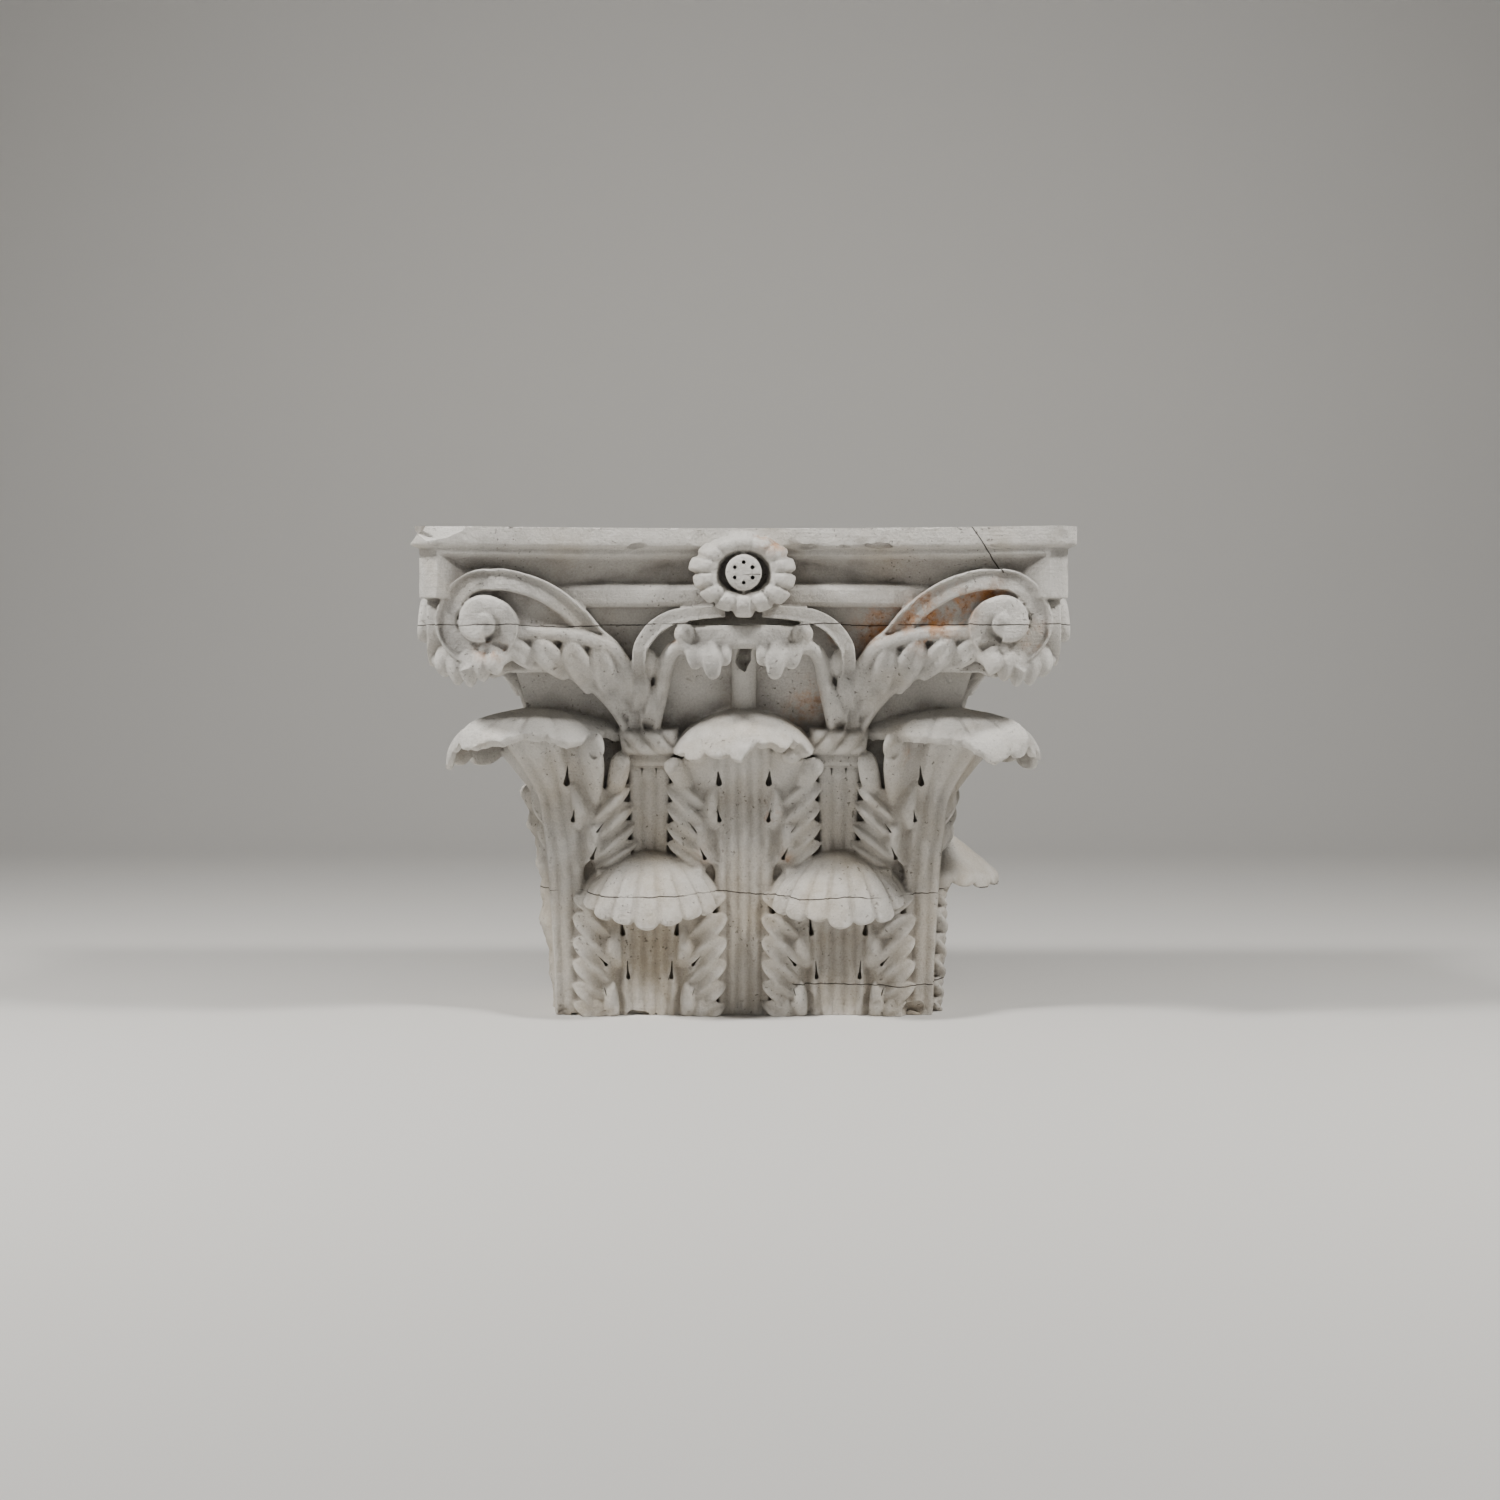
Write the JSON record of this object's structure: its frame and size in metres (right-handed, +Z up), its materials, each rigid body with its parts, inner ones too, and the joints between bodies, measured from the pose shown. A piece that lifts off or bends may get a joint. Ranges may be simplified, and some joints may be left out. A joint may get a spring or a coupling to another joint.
{
  "type": "corinthian pilaster capital",
  "caption": "Carved limestone pilaster capital with acanthus leaves, corner scrolls, a hollow-sided abacus and a flower; flat back and beds.",
  "frame": {"origin": "middle of the bottom bed, where the capital stands on the pilaster", "axes": "+Z up; -Y is the front, away from the wall; +X to the right as seen from the front"},
  "size_m": [0.7903, 0.3957, 0.6],
  "materials": {
    "limestone": "weathered, tooled, with broken edges and rust-coloured stains"
  },
  "bodies": {
    "root": {"capital": "limestone"}
  },
  "joints": []
}
